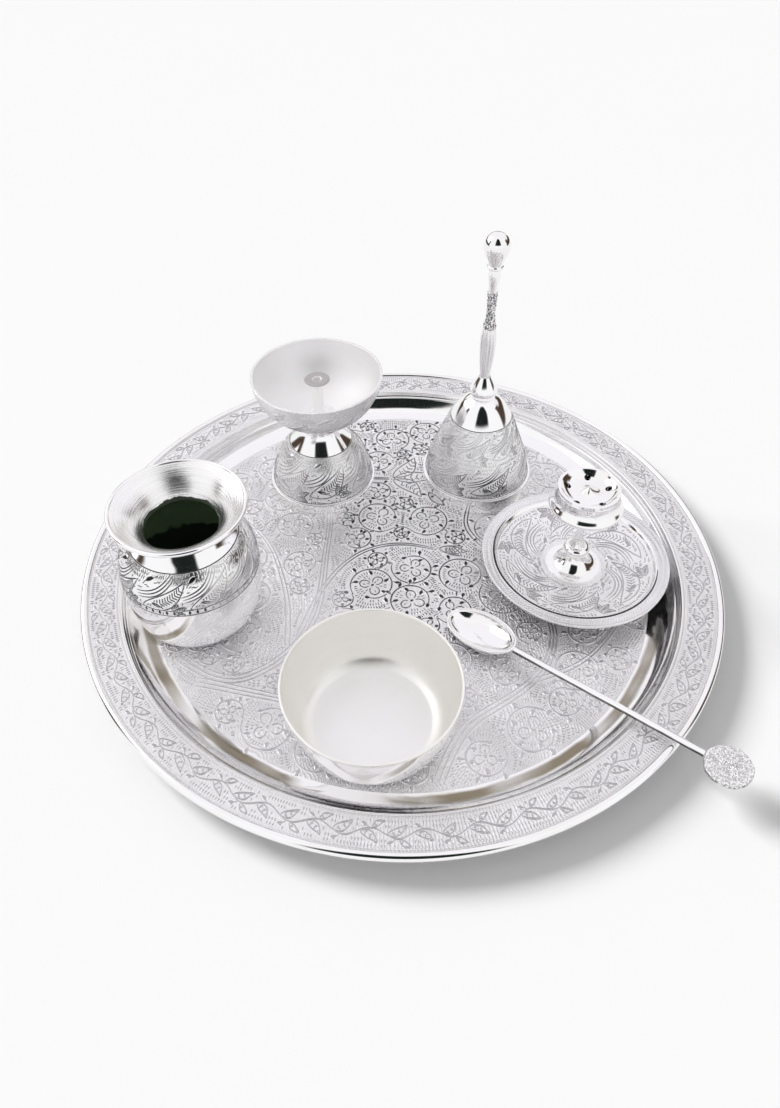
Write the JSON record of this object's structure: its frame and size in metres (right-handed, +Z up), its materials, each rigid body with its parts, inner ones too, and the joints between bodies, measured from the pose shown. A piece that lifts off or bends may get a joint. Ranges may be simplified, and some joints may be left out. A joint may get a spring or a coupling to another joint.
{
  "type": "puja thali set",
  "caption": "Round engraved silver tray carrying a water pot, oil lamp, hand bell with clapper, incense stand, small bowl and spoon for worship at home.",
  "frame": {"origin": "centre of the tray's flat underside", "axes": "+Z up out of the tray, -Y towards the viewer of the picture, +X to the viewer's right"},
  "size_m": [0.254, 0.254, 0.1211],
  "materials": {
    "engraved_silver": "silver-plated, bright, engraved all over",
    "polished_silver": "silver-plated, mirror polished",
    "satin_silver": "silver-plated, turned satin",
    "cast_silver": "silver-plated, cast and chased",
    "plain_brass": "bare turned brass"
  },
  "bodies": {
    "tray": {"thali_plate": "engraved_silver"},
    "kalash": {"kalash_body": "polished_silver", "kalash_neck": "polished_silver"},
    "lamp": {"lamp_foot": "polished_silver", "lamp_bowl": "satin_silver", "lamp_wick_post": "satin_silver", "lamp_screw": "plain_brass"},
    "bell": {"bell_cup": "polished_silver", "bell_collar": "polished_silver", "bell_handle": "cast_silver", "bell_finial": "polished_silver", "bell_eye_nut": "plain_brass"},
    "clapper": {"bell_clapper": "plain_brass"},
    "incense_stand": {"incense_saucer": "engraved_silver", "incense_foot": "polished_silver", "incense_stem": "polished_silver", "incense_nut": "plain_brass", "incense_head": "polished_silver", "incense_cap": "polished_silver"},
    "katori": {"katori_bowl": "satin_silver"},
    "spoon": {"spoon_bowl": "polished_silver", "spoon_stem": "polished_silver", "spoon_disc": "cast_silver"}
  },
  "joints": [
    {"name": "kalash_lift", "type": "slide", "parent": "tray", "child": "kalash", "axis": [0, 0, 1], "range_m": [0, 0.06]},
    {"name": "lamp_lift", "type": "slide", "parent": "tray", "child": "lamp", "axis": [0, 0, 1], "range_m": [0, 0.06]},
    {"name": "bell_lift", "type": "slide", "parent": "tray", "child": "bell", "axis": [0, 0, 1], "range_m": [0, 0.06]},
    {"name": "incense_stand_lift", "type": "slide", "parent": "tray", "child": "incense_stand", "axis": [0, 0, 1], "range_m": [0, 0.06]},
    {"name": "katori_lift", "type": "slide", "parent": "tray", "child": "katori", "axis": [0, 0, 1], "range_m": [0, 0.06]},
    {"name": "spoon_lift", "type": "slide", "parent": "tray", "child": "spoon", "axis": [0, 0, 1], "range_m": [0, 0.06]},
    {"name": "clapper_swing", "type": "hinge", "parent": "bell", "child": "clapper", "pos_m": [0.03704, 0.05523, 0.03882], "axis": [1, 0, 0], "range_deg": [-32, 32]}
  ]
}
